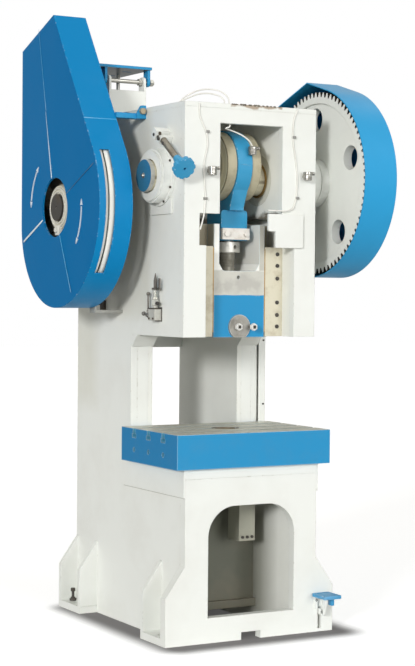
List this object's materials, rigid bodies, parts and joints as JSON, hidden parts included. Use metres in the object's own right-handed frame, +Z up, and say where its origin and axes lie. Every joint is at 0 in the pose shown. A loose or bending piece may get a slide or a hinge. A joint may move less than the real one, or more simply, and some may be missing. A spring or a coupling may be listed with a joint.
{
  "type": "mechanical stamping press",
  "caption": "Geared C-frame stamping press with a slotted table, adjustable ram, crank and rod in an open window, belt and gear guards, brake and foot pedal",
  "frame": {"origin": "centre of the four anchor holes in the feet, at floor level", "axes": "+X to the right-hand side where the gear is, +Y to the back, +Z up"},
  "size_m": [1.145, 1.192, 2.527],
  "materials": {
    "frame_paint": "pale grey-green gloss machine paint on welded steel",
    "blue_paint": "bright blue gloss machine paint",
    "machined_steel": "oiled, machined steel",
    "dark_steel": "blackened steel",
    "bronze": "bearing bronze",
    "tube_plastic": "milky white tube",
    "clear_plastic": "clear reservoir"
  },
  "bodies": {
    "press_frame": {"side_plates": "frame_paint", "inner_plates": "frame_paint", "leg_closing_plates": "frame_paint", "head_front_plate": "frame_paint", "head_top_plate": "frame_paint", "head_inner_plates": "frame_paint", "slot_cover": "frame_paint", "rear_plates": "frame_paint", "base_front_plate": "frame_paint", "cavity_plates": "frame_paint", "table_seat_plates": "frame_paint", "feet": "frame_paint", "levelling_bolts": "dark_steel", "frame_screws": "dark_steel", "hanging_bracket": "frame_paint", "table": "blue_paint", "front_gibs": "machined_steel", "rear_guides": "machined_steel", "gib_liners": "bronze", "brake_housing": "frame_paint", "crank_housings": "frame_paint", "pinion_housings": "frame_paint", "shaft_bushes": "bronze", "brake_band": "dark_steel", "brake_mounts": "frame_paint", "belt_guard": "blue_paint", "gear_guard": "blue_paint", "guard_brackets": "blue_paint", "motor_bracket": "frame_paint", "motor_studs": "machined_steel", "linkage_pivots": "dark_steel", "rod_cover": "frame_paint", "head_oil_cups": "machined_steel", "oil_tubes": "tube_plastic", "pump_body": "machined_steel", "pump_reservoir": "clear_plastic"},
    "flywheel_body": {"flywheel": "frame_paint", "pinion_shaft": "machined_steel", "pinion": "machined_steel"},
    "gear_body": {"bull_gear": "frame_paint", "gear_bush": "bronze"},
    "crank_body": {"crankshaft": "machined_steel", "shaft_collars": "machined_steel", "shaft_end_disc": "machined_steel"},
    "rod_body": {"connecting_rod": "blue_paint", "rod_cap": "blue_paint", "rod_fasteners": "dark_steel", "rod_bush_halves": "bronze", "rod_oil_cup": "machined_steel"},
    "screw_body": {"ball_screw": "machined_steel"},
    "ram_body": {"ram": "machined_steel", "shank_clamp": "machined_steel", "clamp_studs": "dark_steel"},
    "knob_body": {"brake_screw": "machined_steel", "brake_knob": "blue_paint"},
    "pedal_body": {"pedal": "blue_paint"},
    "pull_rod_body": {"pull_rod": "machined_steel"},
    "trip_lever_body": {"trip_lever": "dark_steel"},
    "pump_lever_body": {"pump_lever": "dark_steel"},
    "motor_plate_body": {"motor_plate": "blue_paint"}
  },
  "joints": [
    {"name": "flywheel_spin", "type": "hinge", "parent": "press_frame", "child": "flywheel_body", "pos_m": [0, 0.13589, 1.73], "axis": [1, 0, 0], "continuous": true},
    {"name": "gear_spin", "type": "hinge", "parent": "press_frame", "child": "gear_body", "pos_m": [0, -0.275, 1.848], "axis": [1, 0, 0], "continuous": true},
    {"name": "crank_turn", "type": "hinge", "parent": "press_frame", "child": "crank_body", "pos_m": [0, -0.275, 1.848], "axis": [-1, 0, 0], "range_deg": [0, 180]},
    {"name": "rod_swing", "type": "hinge", "parent": "crank_body", "child": "rod_body", "pos_m": [0, -0.275, 1.898], "axis": [-1, 0, 0], "range_deg": [-180, 0]},
    {"name": "screw_turn", "type": "hinge", "parent": "rod_body", "child": "screw_body", "pos_m": [0, -0.275, 1.57], "axis": [0, 0, 1], "continuous": true},
    {"name": "ram_slide", "type": "slide", "parent": "press_frame", "child": "ram_body", "axis": [0, 0, 1], "range_m": [-0.1, 0]},
    {"name": "knob_turn", "type": "hinge", "parent": "press_frame", "child": "knob_body", "pos_m": [-0.345, -0.352, 1.993], "axis": [0, -0.8192, -0.5735], "continuous": true},
    {"name": "pedal_swing", "type": "hinge", "parent": "press_frame", "child": "pedal_body", "pos_m": [0.327, 0.062, 0.082], "axis": [1, 0, 0], "range_deg": [0, 4], "stiffness_Nm_per_rad": 200, "springref_deg": -8.59},
    {"name": "pull_rod_slide", "type": "slide", "parent": "press_frame", "child": "pull_rod_body", "axis": [0, 0, 1], "range_m": [-0.0056, 0]},
    {"name": "trip_swing", "type": "hinge", "parent": "press_frame", "child": "trip_lever_body", "pos_m": [0.335, 0.08, 1.56], "axis": [1, 0, 0], "range_deg": [0, 3.4]},
    {"name": "pump_swing", "type": "hinge", "parent": "press_frame", "child": "pump_lever_body", "pos_m": [-0.323, -0.204, 1.29], "axis": [0, 1, 0], "range_deg": [-35, 0]},
    {"name": "motor_plate_tilt", "type": "hinge", "parent": "press_frame", "child": "motor_plate_body", "pos_m": [-0.2, 0.206, 2.281], "axis": [1, 0, 0], "range_deg": [0, 8]}
  ],
  "couplings": [
    {"joint": "gear_spin", "follows": "flywheel_spin", "ratio": -0.14458},
    {"joint": "rod_swing", "follows": "crank_turn", "ratio": -1},
    {"joint": "ram_slide", "follows": "crank_turn", "m_per_rad": -0.03183},
    {"joint": "pull_rod_slide", "follows": "pedal_swing", "m_per_rad": -0.076},
    {"joint": "trip_swing", "follows": "pedal_swing", "ratio": 0.8085}
  ]
}
